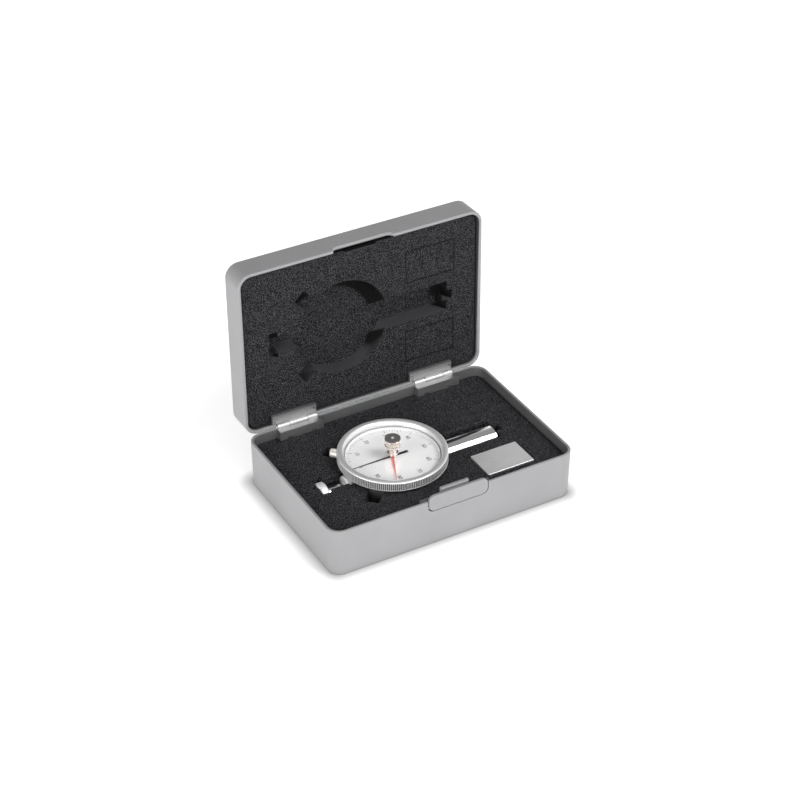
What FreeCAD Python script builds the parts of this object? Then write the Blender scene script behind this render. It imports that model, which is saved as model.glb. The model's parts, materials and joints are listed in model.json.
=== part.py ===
"""Pocket dial hardness gauge in its foam-lined storage box, one STEP file per piece.

Millimetres, +Z up. The origin is the centre of the box's underside, X runs along the box from the
gauge's pressing foot to its handle tube, Y from the latch to the hinges. The lid stands open.
"""
import FreeCAD, Part
import math
import os

V = FreeCAD.Vector
X, Y, Z = V(1, 0, 0), V(0, 1, 0), V(0, 0, 1)

# ---- storage box -------------------------------------------------------------------------------
BOX_LENGTH, BOX_DEPTH = 150.0, 101.0    # at the rims
BASE_HEIGHT, LID_HEIGHT = 29.0, 16.0
CORNER_RADIUS = 8.0
BASE_WALL, LID_WALL = 1.75, 2.0
FLOOR = 2.2                             # base floor and lid ceiling
BASE_DRAFT, LID_DRAFT = 0.55, 0.12      # how far each side leans in from rim to floor
EDGE_ROUND = 0.8                        # outer edge round the underside and round the lid's top
RIM_ROUND = 0.72                        # lets the lid's rim nest against the base's when it stands open
FRONT = -BOX_DEPTH / 2
LID_ANGLE = 90.9                        # the lid's opening, from closed to its stop
HINGE_Y, HINGE_Z = 50.14, 29.0          # hinge axis

# ---- foam --------------------------------------------------------------------------------------
FOAM_GAP, LID_FOAM_GAP = 0.5, 0.9       # slits between foam and walls at the surface
BASE_FOAM_TOP = 23.3
LID_FOAM_FACE, LID_POCKET_TOP = 31.0, 40.7   # with the lid closed
POCKET_X, POCKET_Y, POCKET_RADIUS = -13.9, -2.0, 28.1
LID_CUT_SHIFT = (1.6, 1.8)              # the lid foam's die cut against the base foam's
FINGER_NOTCH_WIDTH, FINGER_NOTCH_REACH = 8.4, 37.3

# ---- hinges ------------------------------------------------------------------------------------
HINGE_SIDES = {"left": -58.4, "right": 28.7}   # left ends of the lid leaves
LEAF_THICKNESS, LEAF_LENGTH = 1.0, 27.0
LEAF_GAP = 0.05                         # each leaf's distance from the rim plane
BASE_LEAF_SHIFT = 1.8                   # the base leaf sits this much further right
LID_LEAF_REACH, BASE_LEAF_REACH = 7.6, 5.8   # from the axis inwards
LEAF_SEAT_DEPTH = 4.0                   # thickness of the plastic behind a lid leaf
SKIRT_BOTTOM = 23.4
KNUCKLE_RADIUS, KNUCKLE_CLEARANCE, HINGE_PIN_RADIUS = 1.9, 0.2, 0.8
BARREL_START, BARREL_END = 2.4, 26.7    # from the lid leaf's left end
LID_KNUCKLE = (9.6, 20.8)               # the lid's knuckle, between the base leaf's two
KNUCKLE_GAP = 0.3
BARREL_ROOM = 0.4                       # free space past each end of the barrel
RECESS_REACH = 1.75                     # the leaves' recesses stop this far inside the axis

# ---- latch -------------------------------------------------------------------------------------
PAD_HALF, PAD_CENTRE, PAD_BOTTOM, PAD_TOP = 18.1, 0.6, 22.4, 32.0
PAD_THICKNESS, PAD_ROUND, PAD_GROOVE = 1.5, 3.6, 0.55
LATCH_AXIS_Y, LATCH_AXIS_Z = FRONT + 1.8, 23.9
LATCH_PIN_RADIUS, LATCH_BARREL_RADIUS = 0.55, 1.3
TONGUE_LEFT, TONGUE_RIGHT, TONGUE_TOP = -9.0, 8.0, 33.5
TONGUE_FRONT, TONGUE_BACK = FRONT + 2.45, FRONT + 3.8
NOSE = 0.5                              # how far the hook's nose stands forward
LID_NOTCH_TOP = 32.3

# ---- gauge -------------------------------------------------------------------------------------
GX, GY, GZ = -12.3, -2.2, 5.0           # dial axis, and the gauge's back
ROD_Z = 16.0                            # axis of tube, plunger and foot
HOUSING_RADIUS, HOUSING_BORE, NECK_TOP = 27.2, 24.8, 27.4
COVER_THICKNESS = 2.0
RUN = 0.06                              # radial clearance of a running fit
BEZEL_RADIUS, BEZEL_BOTTOM, BEZEL_TOP, BEZEL_WINDOW = 30.4, 25.2, 30.9, 26.5
DIAL_RADIUS, DIAL_BOTTOM, DIAL_TOP = 26.05, 26.0, 26.5
CRYSTAL_BOTTOM, CRYSTAL_TOP = 27.9, 28.9
TUBE_RADIUS, TUBE_BORE, TUBE_START, TUBE_END = 7.75, 5.9, GX + 24.85, 51.0
FOOT_RADIUS, FOOT_FACE, FOOT_BACK = 7.4, -58.5, -53.8
NECK_RADIUS, NECK_BORE = 3.8, 3.0
PLUNGER_RADIUS, PLUNGER_FRONT, SHOULDER_START, SHOULDER_END = 2.2, -50.5, 18.5, 20.0
COLLAR_RADIUS, COLLAR_FRONT, COLLAR_BACK = 6.8, -42.3, GX - 27.25
INDENTER_RADIUS, INDENTER_TIP_RADIUS = 0.63, 0.395
TRAVEL = 2.5                            # indenter travel for one turn of the pointer
CLAMP_ANGLE, CLAMP_Z = 135.0, 22.0

# ---- check block -------------------------------------------------------------------------------
BLOCK_X, BLOCK_Y, BLOCK_Z = 26.3, -39.4, 18.0
BLOCK_SIZE = (28.8, 19.6, 5.9)
BLOCK_MARKS = (7.7, 19.6)               # the marks' distances from the block's left end

# ---- gear train: rack, 16-tooth pinion with 72-tooth gear, 12-tooth centre pinion ----------------
GEAR_TEETH, CENTRE_TEETH, RACK_PINION_TEETH = 72, 12, 16
GEAR_MODULE = 0.25
PRESSURE_ANGLE = math.radians(20)
ADDENDUM, DEDENDUM = 0.9, 1.25          # in modules
BACKLASH = 0.07
RACK_RADIUS = TRAVEL * GEAR_TEETH / CENTRE_TEETH / (2 * math.pi)
RACK_MODULE = 2 * RACK_RADIUS / RACK_PINION_TEETH
RACK_LINE = 1.7                         # rack pitch line from the plunger's axis
CENTRE_DISTANCE = GEAR_MODULE * (GEAR_TEETH + CENTRE_TEETH) / 2
ARBOR_DY = RACK_LINE + RACK_RADIUS
ARBOR_DX = math.sqrt(CENTRE_DISTANCE ** 2 - ARBOR_DY ** 2)
ARBOR_RADIUS, HAIRSPRING_OUTER = 0.5, 6.4
GEAR_Z, GEAR_THICKNESS = 20.2, 0.8
BASE_PLATE_Z, BASE_PLATE_TOP = 9.0, 10.2
BRIDGE_Z, BRIDGE_TOP = 18.5, 19.3
TOP_PLATE_Z, TOP_PLATE_TOP = 22.6, 23.6
PILLARS = [(sx * 10.0, sy * 17.0) for sx in (-1, 1) for sy in (-1, 1)]
LINE_ANGLE = math.atan2(ARBOR_DY, ARBOR_DX)     # from the centre arbor to the rack arbor
GEAR_TOP = GEAR_Z + GEAR_THICKNESS

os.makedirs("parts", exist_ok=True)


def save(name, *shapes):
    """Write one node: a single solid, or a group of separate ones."""
    solids = [s for shape in shapes for s in shape.Solids]
    for solid in solids:
        if not solid.isValid() or solid.Volume <= 0:
            raise ValueError(name + " is not a valid solid")
    shape = solids[0] if len(solids) == 1 else Part.makeCompound(solids)
    shape.exportStep("parts/" + name + ".step")
    print("%-24s %2d solid %10.2f mm3" % (name, len(solids), sum(s.Volume for s in solids)))


def block(low, high):
    return Part.makeBox(high[0] - low[0], high[1] - low[1], high[2] - low[2], V(*low))


def rod(radius, start, length, axis=Z):
    return Part.makeCylinder(radius, length, V(*start), axis)


def cone(first, last, start, length, axis=Z):
    return Part.makeCone(first, last, length, V(*start), axis)


def upright(radius, low, high, x=0.0, y=0.0):
    """A cylinder along Z, placed from the dial axis."""
    return rod(radius, (GX + x, GY + y, low), high - low)


def upright_ring(outer, inner, low, high):
    return upright(outer, low, high).cut(upright(inner, low - 1, high + 1))


def lengthwise(radius, start, end):
    """A cylinder along X on the plunger's axis."""
    return rod(radius, (start, GY, ROD_Z), end - start, X)


def lengthwise_tube(outer, inner, start, end):
    return lengthwise(outer, start, end).cut(lengthwise(inner, start - 1, end + 1))


def join(shapes):
    first, rest = shapes[0], list(shapes[1:])
    return first.fuse(rest).removeSplitter() if rest else first


def prism(points, low, high):
    """A solid between two levels from an outline of (x, y) points."""
    corners = [V(x, y, low) for x, y in points]
    outline = Part.makePolygon(corners + corners[:1])
    return Part.Face(outline).extrude(V(0, 0, high - low))


def rounded_outline(half_x, half_y, radius, z):
    """A rectangle with arc corners, centred on the Z axis, as a wire."""
    ax, ay, k = half_x - radius, half_y - radius, radius * math.sqrt(0.5)
    arcs = []
    for sx, sy in ((1, 1), (-1, 1), (-1, -1), (1, -1)):
        side, end = V(sx * half_x, sy * ay, z), V(sx * ax, sy * half_y, z)
        middle = V(sx * (ax + k), sy * (ay + k), z)
        arcs.append((side, middle, end) if sx == sy else (end, middle, side))
    edges = []
    for i, (first, middle, last) in enumerate(arcs):
        edges.append(Part.Arc(first, middle, last).toShape())
        edges.append(Part.LineSegment(last, arcs[(i + 1) % 4][0]).toShape())
    return Part.Wire(edges)


def tray(low, high, inset_low, inset_high):
    """A solid whose rounded outline is inset from the rim's outline by two amounts, low and high."""
    wires = [rounded_outline(BOX_LENGTH / 2 - inset, BOX_DEPTH / 2 - inset, CORNER_RADIUS - inset, z)
             for z, inset in ((low, inset_low), (high, inset_high))]
    return Part.makeLoft(wires, True, True)


def level_edges(shape, z):
    return [e for e in shape.Edges
            if abs(e.BoundBox.ZMin - z) < 1e-4 and abs(e.BoundBox.ZMax - z) < 1e-4]


def plate_in_wall(half, low, high, front, back):
    """A plate standing in the XZ plane with rounded corners."""
    pad = block((PAD_CENTRE - half, front, low), (PAD_CENTRE + half, back, high))
    corners = [e for e in pad.Edges if e.BoundBox.YLength > 0.1]
    return pad.makeFillet(PAD_ROUND, corners)


def open_lid(shape):
    """Turn a piece of the closed lid about the hinge axis into the open position."""
    turned = shape.copy()
    turned.rotate(V(0, HINGE_Y, HINGE_Z), X, -LID_ANGLE)
    return turned


# ---- storage box ---------------------------------------------------------------------------------

def barrel_space(left):
    """The space in the walls for one hinge's barrel."""
    return barrel_rod(left, KNUCKLE_RADIUS + KNUCKLE_CLEARANCE, BARREL_START - BARREL_ROOM,
                      BARREL_END + BARREL_ROOM)


def case_base():
    shell = tray(0, BASE_HEIGHT, BASE_DRAFT, 0)
    shell = shell.makeFillet(EDGE_ROUND, level_edges(shell, 0))
    slope = BASE_DRAFT / BASE_HEIGHT
    shell = shell.cut(tray(FLOOR, BASE_HEIGHT + 1, BASE_DRAFT + BASE_WALL - slope * FLOOR, BASE_WALL - slope))
    shell = shell.makeFillet(RIM_ROUND, level_edges(shell, BASE_HEIGHT))
    # a thicker stretch of the front wall carries the latch
    shell = shell.fuse(block((-PAD_HALF - 3, FRONT + 1.2, 19.5),
                             (PAD_HALF + 3, FRONT + 4.4, BASE_HEIGHT - 0.5)))
    leaf_bottom = BASE_HEIGHT - LEAF_GAP - LEAF_THICKNESS
    for left in HINGE_SIDES.values():
        start, inner = left + BASE_LEAF_SHIFT, HINGE_Y - BASE_LEAF_REACH
        shell = shell.fuse(block((start, inner + LEAF_THICKNESS, 18.5),
                                 (start + LEAF_LENGTH, 49.0, leaf_bottom)))
        shell = shell.cut(block((start - 0.2, inner, leaf_bottom),
                                (start + LEAF_LENGTH + 0.2, HINGE_Y - RECESS_REACH, BASE_HEIGHT + 1)))
        shell = shell.cut(barrel_space(left))
    recess = plate_in_wall(PAD_HALF + PAD_GROOVE, PAD_BOTTOM - PAD_GROOVE, BASE_HEIGHT + 8,
                           FRONT - 1, FRONT + 1.95)
    window = block((TONGUE_LEFT - 0.4, FRONT, 25.2), (TONGUE_RIGHT + 0.4, FRONT + 6, BASE_HEIGHT + 1))
    channel = rod(LATCH_BARREL_RADIUS + 0.15, (-PAD_HALF + 1.6, LATCH_AXIS_Y, LATCH_AXIS_Z),
                  2 * PAD_HALF - 3.2, X)
    return shell.cut([recess, window, channel, latch_rod(LATCH_PIN_RADIUS)]).removeSplitter()


def case_lid():
    top = BASE_HEIGHT + LID_HEIGHT
    shell = tray(BASE_HEIGHT, top, 0, LID_DRAFT)
    shell = shell.makeFillet(EDGE_ROUND, level_edges(shell, top))
    shell = shell.cut(tray(BASE_HEIGHT - 1, top - FLOOR, LID_WALL, LID_WALL + LID_DRAFT))
    shell = shell.makeFillet(RIM_ROUND, level_edges(shell, BASE_HEIGHT))
    leaf_top = BASE_HEIGHT + LEAF_GAP + LEAF_THICKNESS
    for left in HINGE_SIDES.values():
        inner, right = HINGE_Y - LID_LEAF_REACH, left + LEAF_LENGTH
        shell = shell.fuse(block((left, inner, leaf_top), (right, 49.0, leaf_top + LEAF_SEAT_DEPTH)))
        shell = shell.cut(block((left - 0.2, inner, BASE_HEIGHT - 1),
                                (right + 0.2, HINGE_Y - RECESS_REACH, leaf_top)))
        shell = shell.cut(barrel_space(left))
    notch = plate_in_wall(PAD_HALF + PAD_GROOVE, BASE_HEIGHT - 9, LID_NOTCH_TOP, FRONT - 1, FRONT + 2.6)
    strike = block((TONGUE_LEFT - 0.6, FRONT + 1.1, LID_NOTCH_TOP + 0.45),
                   (TONGUE_RIGHT + 0.6, FRONT + 3, TONGUE_TOP + 0.6))
    return open_lid(shell.cut([notch, strike]).removeSplitter())


def gauge_spaces(floors, top, foot_y, centre):
    """The die-cut spaces for the gauge, each from its own level up to the same top."""
    spaces = {"round": rod(POCKET_RADIUS, (*centre, floors["round"]), top - floors["round"])}
    outlines = {"neck": (-54.0, POCKET_X, -7.8, 2.4), "foot": (-58.8, -53.4, *foot_y),
                "tube": (POCKET_X, 52.3, -11.2, 6.8), "stud": (52.0, 55.9, -5.0, 0.6),
                "tip": (-61.7, -58.5, GY - 1.1, GY + 1.1),
                "collar": (COLLAR_FRONT - 0.3, POCKET_X, GY - COLLAR_RADIUS - 0.3, GY + COLLAR_RADIUS + 0.3)}
    for name, (x0, x1, y0, y1) in outlines.items():
        if name in floors:
            spaces[name] = block((x0, y0, floors[name]), (x1, y1, top))
    for turn in (135, 225):
        half = FINGER_NOTCH_WIDTH / 2
        notch = block((POCKET_X, POCKET_Y - half, floors["fingers"]),
                      (POCKET_X + FINGER_NOTCH_REACH, POCKET_Y + half, top))
        notch.rotate(V(POCKET_X, POCKET_Y, 0), Z, turn)
        spaces["finger_%d" % turn] = notch
    return list(spaces.values())


def base_foam():
    """Foam block with a bed for the gauge and one for the check block."""
    foam = tray(FLOOR, BASE_FOAM_TOP, BASE_DRAFT + BASE_WALL + 0.15, BASE_WALL + FOAM_GAP + 0.15)
    floors = {"round": GZ - 0.1, "neck": 9.0, "foot": 8.4, "tip": 14.4, "collar": 8.9, "tube": 8.0,
              "stud": 12.5, "fingers": 12.0}
    half = FOOT_RADIUS + 0.3
    foam = foam.cut(gauge_spaces(floors, BASE_HEIGHT, (GY - half, GY + half), (GX, GY)))
    cuts = [block((BLOCK_X - 0.3, BLOCK_Y - 0.3, BLOCK_Z - 0.1),
                  (BLOCK_X + BLOCK_SIZE[0] + 0.3, BLOCK_Y + BLOCK_SIZE[1] + 0.3, BASE_HEIGHT)),
            block((-PAD_HALF - 3.5, FRONT, 0), (PAD_HALF + 3.5, FRONT + 5.3, BASE_HEIGHT))]
    for left in HINGE_SIDES.values():
        start = left + BASE_LEAF_SHIFT
        cuts.append(block((start - 0.3, HINGE_Y - BASE_LEAF_REACH - 0.2, 0),
                          (start + LEAF_LENGTH + 0.3, BOX_DEPTH, BASE_HEIGHT)))
    return foam.cut(cuts).removeSplitter()


def lid_foam():
    """The same die cut in the lid's foam, all to one depth."""
    ceiling = BASE_HEIGHT + LID_HEIGHT - FLOOR
    foam = tray(LID_FOAM_FACE, ceiling, LID_WALL + LID_FOAM_GAP, LID_WALL + LID_DRAFT + 0.1)
    floors = dict.fromkeys(("round", "neck", "foot", "tube", "stud", "fingers"), BASE_HEIGHT)
    spaces = gauge_spaces(floors, LID_POCKET_TOP, (-11.0, 5.4), (POCKET_X, POCKET_Y))
    for space in spaces:
        space.translate(V(*LID_CUT_SHIFT, 0))
    foam = foam.cut(spaces)
    cuts = [block((-PAD_HALF - 0.5, FRONT, 0), (PAD_HALF + 0.5, FRONT + 3.3, 36)),
            block((TONGUE_LEFT - 1.2, FRONT, 0), (TONGUE_RIGHT + 1.2, TONGUE_BACK + 0.6, 36))]
    for left in HINGE_SIDES.values():
        cuts.append(block((left - 0.3, HINGE_Y - LID_LEAF_REACH - 0.2, 0),
                          (left + LEAF_LENGTH + 0.3, BOX_DEPTH, 36)))
    return open_lid(foam.cut(cuts).removeSplitter())


def check_block():
    """A small steel block with two shallow marks drilled in its top."""
    body = block((BLOCK_X, BLOCK_Y, BLOCK_Z), tuple(a + b for a, b in zip((BLOCK_X, BLOCK_Y, BLOCK_Z),
                                                                         BLOCK_SIZE)))
    body = body.makeChamfer(0.25, body.Edges)
    top = BLOCK_Z + BLOCK_SIZE[2]
    for dx in BLOCK_MARKS:
        body = body.cut(rod(0.5, (BLOCK_X + dx, BLOCK_Y + BLOCK_SIZE[1] / 2, top - 1.2), 2))
    return body


# ---- hinges and latch ----------------------------------------------------------------------------

def barrel_rod(left, radius, start, end):
    return rod(radius, (left + start, HINGE_Y, HINGE_Z), end - start, X)


def lid_leaf(left):
    bottom = BASE_HEIGHT + LEAF_GAP
    plate = block((left, HINGE_Y - LID_LEAF_REACH, bottom),
                  (left + LEAF_LENGTH, HINGE_Y - RECESS_REACH - 0.05, bottom + LEAF_THICKNESS))
    plate = plate.cut(barrel_rod(left, KNUCKLE_RADIUS + KNUCKLE_CLEARANCE, -1, LEAF_LENGTH + 1))
    start, end = LID_KNUCKLE
    web = block((left + start, HINGE_Y - KNUCKLE_RADIUS - 1, bottom),
                (left + end, HINGE_Y, bottom + LEAF_THICKNESS))
    leaf = join([plate, web, barrel_rod(left, KNUCKLE_RADIUS, start, end)])
    holes = [barrel_rod(left, HINGE_PIN_RADIUS + RUN, 0, LEAF_LENGTH)]
    for dx, reach in ((1.3, 3.4), (1.3, 5.2), (LEAF_LENGTH - 1.4, 5.4)):
        holes.append(rod(0.45, (left + dx, HINGE_Y - reach, bottom - 1), LEAF_THICKNESS + 2))
    return open_lid(leaf.cut(holes))


def base_leaf(left):
    start, inner = left + BASE_LEAF_SHIFT, HINGE_Y - BASE_LEAF_REACH
    top = BASE_HEIGHT - LEAF_GAP
    end = start + LEAF_LENGTH
    plate = block((start, inner, top - LEAF_THICKNESS), (end, HINGE_Y - RECESS_REACH - 0.05, top))
    skirt = block((start, inner, SKIRT_BOTTOM), (end, inner + LEAF_THICKNESS, top))
    bent = join([plate, skirt]).cut(barrel_rod(left, KNUCKLE_RADIUS + KNUCKLE_CLEARANCE,
                                               -1, LEAF_LENGTH + BASE_LEAF_SHIFT + 1))
    pieces = [bent]
    for first, last in ((BARREL_START, LID_KNUCKLE[0] - KNUCKLE_GAP),
                        (LID_KNUCKLE[1] + KNUCKLE_GAP, BARREL_END)):
        pieces.append(barrel_rod(left, KNUCKLE_RADIUS, first, last))
        pieces.append(block((left + first, HINGE_Y - KNUCKLE_RADIUS - 1, top - LEAF_THICKNESS),
                            (left + last, HINGE_Y, top)))
    holes = [barrel_rod(left, HINGE_PIN_RADIUS, 0, LEAF_LENGTH + 2)]
    for dx in (4.1, 19.4):
        holes.append(block((start + dx, inner - 1, SKIRT_BOTTOM - 1), (start + dx + 3.4, inner + 2,
                                                                       SKIRT_BOTTOM + 1.2)))
    return join(pieces).cut(holes)


def latch_rod(radius):
    return rod(radius, (-PAD_HALF - 1.5, LATCH_AXIS_Y, LATCH_AXIS_Z), 2 * PAD_HALF + 3.0, X)


def latch():
    """A push pad; behind it a tongue whose nose hooks into the lid's wall. It rocks on a pin."""
    pad = plate_in_wall(PAD_HALF, PAD_BOTTOM, PAD_TOP, FRONT - 0.05, FRONT - 0.05 + PAD_THICKNESS)
    barrel = rod(LATCH_BARREL_RADIUS, (-PAD_HALF + 2.0, LATCH_AXIS_Y, LATCH_AXIS_Z),
                 2 * PAD_HALF - 4.0, X)
    arm = block((TONGUE_LEFT, FRONT + 1, 25.6), (TONGUE_RIGHT, TONGUE_BACK, 27.2))
    tongue = block((TONGUE_LEFT, TONGUE_FRONT, 25.6), (TONGUE_RIGHT, TONGUE_BACK, TONGUE_TOP))
    low, high = LID_NOTCH_TOP + 0.6, TONGUE_TOP
    outline = [V(0, TONGUE_FRONT, low), V(0, TONGUE_FRONT - NOSE, low), V(0, TONGUE_FRONT, high)]
    nose = Part.Face(Part.makePolygon(outline + outline[:1])).extrude(V(TONGUE_RIGHT - TONGUE_LEFT, 0, 0))
    nose.translate(V(TONGUE_LEFT, 0, 0))
    return join([pad, barrel, arm, tongue, nose]).cut(latch_rod(LATCH_PIN_RADIUS + RUN))


# ---- gears ---------------------------------------------------------------------------------------

def involute(angle):
    return math.tan(angle) - angle


def spur_gear(teeth, module, low, high, x, y, phase):
    """An involute gear with one tooth pointing along the phase angle."""
    pitch = module * teeth / 2
    base, tip, root = pitch * math.cos(PRESSURE_ANGLE), pitch + ADDENDUM * module, pitch - DEDENDUM * module
    half = (math.pi * module / 2 - BACKLASH) / 2 / pitch
    levels = [base + (tip - base) * i / 4 for i in range(5)] if root < base else \
             [root + (tip - root) * i / 5 for i in range(6)]
    flank = [(r, half + involute(PRESSURE_ANGLE) - involute(math.acos(min(1.0, base / r)))) for r in levels]
    if root < base:
        flank.insert(0, (root, flank[0][1]))
    points = []
    for tooth in range(teeth):
        middle = phase + 2 * math.pi * tooth / teeth
        for r, a in flank:
            points.append((GX + x + r * math.cos(middle - a), GY + y + r * math.sin(middle - a)))
        for r, a in reversed(flank):
            points.append((GX + x + r * math.cos(middle + a), GY + y + r * math.sin(middle + a)))
    return prism(points, low, high)


def arbor(low, high, x=0.0, y=0.0, radius=ARBOR_RADIUS):
    return upright(radius, low, high, x, y)


def rack_cuts():
    """The flat and the tooth gaps milled into the plunger beside the pinion."""
    middle = GX + ARBOR_DX
    pitch = math.pi * RACK_MODULE
    tip, root = RACK_LINE + ADDENDUM * RACK_MODULE, RACK_LINE - DEDENDUM * RACK_MODULE
    half, slant = (pitch / 2 + BACKLASH) / 2, math.tan(PRESSURE_ANGLE)
    cuts = [block((middle - 6.6, GY + tip, 0), (middle + 3.6, GY + 10, 40))]
    for i in range(-6, 4):
        x = middle + i * pitch
        wide = half + (tip + 0.5 - RACK_LINE) * slant
        narrow = half - (RACK_LINE - root) * slant
        cuts.append(prism([(x - narrow, GY + root), (x + narrow, GY + root),
                           (x + wide, GY + tip + 0.5), (x - wide, GY + tip + 0.5)], 0, 40))
    return cuts


# ---- gauge: outside ------------------------------------------------------------------------------

def clamp_rod(radius, start, length):
    """A cylinder along the clamp screw, which points at the dial axis."""
    turn = math.radians(CLAMP_ANGLE)
    direction = V(math.cos(turn), math.sin(turn), 0)
    base = V(GX, GY, CLAMP_Z) + direction * start
    return Part.makeCylinder(radius, length, base, direction)


def housing():
    bottom = GZ + COVER_THICKNESS
    body = upright(HOUSING_RADIUS, bottom, NECK_TOP)
    body = body.cut(upright(HOUSING_BORE, bottom - 1, DIAL_BOTTOM - 0.4))
    body = body.cut(upright(DIAL_RADIUS + 0.1, DIAL_BOTTOM - 0.4, NECK_TOP + 1))
    body = body.fuse(upright_ring(HOUSING_BORE + 0.1, 23.3, BASE_PLATE_TOP, BASE_PLATE_TOP + 1.0))
    groove = upright_ring(HOUSING_RADIUS + 1, HOUSING_RADIUS - 0.4, 26.0, 26.5)
    holes = [groove, lengthwise(NECK_RADIUS, GX - 30, GX - 24.6), lengthwise(TUBE_RADIUS, TUBE_START, 30),
             lengthwise(NECK_BORE, GX + 20, TUBE_START + 1), clamp_rod(1.0 + RUN, 20, 10)]
    holes += [upright(0.6, bottom - 1, 10.5, x, y) for x, y in cover_screw_places()]
    return body.cut(holes).removeSplitter()


def cover_screw_places():
    radius = (HOUSING_RADIUS + HOUSING_BORE) / 2
    return [(radius * math.cos(math.radians(a)), radius * math.sin(math.radians(a)))
            for a in (45, 135, 225, 315)]


def back_cover():
    top = GZ + COVER_THICKNESS
    cover = upright(HOUSING_RADIUS, GZ, top)
    cover = cover.makeChamfer(0.6, level_edges(cover, GZ))
    sinks = []
    for x, y in cover_screw_places():
        sinks += [upright(0.6, GZ - 1, top + 1, x, y), upright(1.1, GZ - 1, GZ + 0.9, x, y)]
    return cover.cut(sinks)


def back_cover_screws():
    screws = []
    for x, y in cover_screw_places():
        slot = block((GX + x - 0.15, GY + y - 2, GZ - 1), (GX + x + 0.15, GY + y + 2, GZ + 0.4))
        screws.append(join([upright(1.1, GZ + 0.1, GZ + 0.9, x, y),
                            upright(0.6, GZ + 0.8, 10.0, x, y)]).cut(slot))
    return screws


def bezel():
    ring = upright(BEZEL_RADIUS, BEZEL_BOTTOM, BEZEL_TOP)
    ring = ring.makeChamfer(0.5, ring.Edges)
    bore = upright(HOUSING_RADIUS + RUN, BEZEL_BOTTOM - 1, NECK_TOP + 0.1)
    groove = upright(HOUSING_RADIUS + 0.6, 25.9, 26.6)
    mouth = cone(BEZEL_WINDOW, BEZEL_WINDOW + 1.0, (GX, GY, CRYSTAL_TOP), BEZEL_TOP - CRYSTAL_TOP)
    return ring.cut([bore, groove, upright(BEZEL_WINDOW, NECK_TOP, CRYSTAL_TOP), mouth])


def presser_foot():
    foot = lengthwise(FOOT_RADIUS, FOOT_FACE, FOOT_BACK)
    foot = foot.makeChamfer(0.6, [e for e in foot.Edges if e.BoundBox.XLength < 0.1])
    return foot.cut(lengthwise(1.5, FOOT_FACE - 1, FOOT_BACK + 1))


def neck_collar():
    """The threaded collar that locks the neck into the housing."""
    collar = lengthwise(COLLAR_RADIUS, COLLAR_FRONT, COLLAR_BACK)
    collar = collar.makeChamfer(0.5, [e for e in collar.Edges if e.BoundBox.XLength < 0.1])
    return collar.cut(lengthwise(NECK_RADIUS, COLLAR_FRONT - 1, COLLAR_BACK + 1))


def tube_cap():
    plug = lengthwise(TUBE_BORE, 46.0, TUBE_END)
    flange = lengthwise(TUBE_RADIUS - 0.6, TUBE_END, TUBE_END + 0.5)
    stud = lengthwise(2.0, TUBE_END, 55.3)
    return join([plug, flange, stud])


def clamp_screw():
    knob = clamp_rod(2.8, 29.8, 5.6)
    knob = knob.makeChamfer(0.4, [e for e in knob.Edges if len(e.Vertexes) == 1])
    return join([knob, clamp_rod(1.0, 25.4, 4.8)])


# ---- gauge: knob and hands -----------------------------------------------------------------------

def knob_bushing():
    body = join([upright(2.2, CRYSTAL_BOTTOM - 0.2, CRYSTAL_TOP), upright(3.0, CRYSTAL_TOP, 29.8),
                 upright(2.4, 29.8, 31.5)])
    return body.cut(upright(0.8 + RUN, 20, 40))


def reset_knob():
    body = join([upright(2.2, 31.8, 33.3), upright(4.4, 33.2, 35.0), upright(4.0, 34.9, 35.6),
                 upright(4.4, 35.5, 38.3)])
    return body.cut([upright(0.8, 20, 50)])


def hand(length, tail, tail_width, low, high, angle):
    """A tapered hand on a round hub, pointing along the angle."""
    outline = [(GX + length, GY - 0.12), (GX + length, GY + 0.12), (GX, GY + 0.65),
               (GX - tail, GY + tail_width), (GX - tail, GY - tail_width), (GX, GY - 0.65)]
    blade = prism(outline, low, high)
    blade.rotate(V(GX, GY, 0), Z, angle)
    return blade


def main_pointer():
    blade = hand(25.0, 9.4, 0.9, 26.8, 26.95, 180)
    return join([blade, upright(1.5, 26.7, 27.0)]).cut(arbor(20, 30))


def drag_hand():
    blade = hand(22.4, 5.0, 0.7, 27.3, 27.45, -114)
    return join([blade, upright(1.5, 27.15, 27.6)]).cut(arbor(20, 30, radius=0.8))


# ---- gauge: movement -----------------------------------------------------------------------------

def base_plate():
    plate = upright(HOUSING_BORE - 0.1, BASE_PLATE_Z, BASE_PLATE_TOP)
    return plate.cut([arbor(0, 30, s * ARBOR_DX, s * ARBOR_DY, ARBOR_RADIUS + RUN) for s in (1, -1)])


def top_plate():
    plate = upright(22.4, TOP_PLATE_Z, TOP_PLATE_TOP)
    holes = [arbor(0, 30, s * ARBOR_DX, s * ARBOR_DY, ARBOR_RADIUS + RUN) for s in (1, -1)]
    holes.append(arbor(0, 30, radius=ARBOR_RADIUS + RUN))
    return plate.cut(holes + [upright(0.8, 0, 40, x, y) for x, y in PILLARS])


def pillars():
    return [upright(1.6, BASE_PLATE_TOP, TOP_PLATE_Z, x, y).cut(upright(0.8, TOP_PLATE_Z - 3, 40, x, y))
            for x, y in PILLARS]


def plate_screws():
    screws = []
    for x, y in PILLARS:
        slot = block((GX + x - 2, GY + y - 0.2, TOP_PLATE_TOP + 0.5), (GX + x + 2, GY + y + 0.2, 40))
        screws.append(join([upright(1.4, TOP_PLATE_TOP, TOP_PLATE_TOP + 0.9, x, y),
                            upright(0.8, TOP_PLATE_Z - 2.8, TOP_PLATE_TOP + 0.1, x, y)]).cut(slot))
    return screws


def centre_bridge():
    bar = block((GX - 2.4, GY - 18, BRIDGE_Z), (GX + 2.4, GY + 18, BRIDGE_TOP))
    return bar.cut(arbor(0, 30, radius=ARBOR_RADIUS + RUN))


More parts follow.
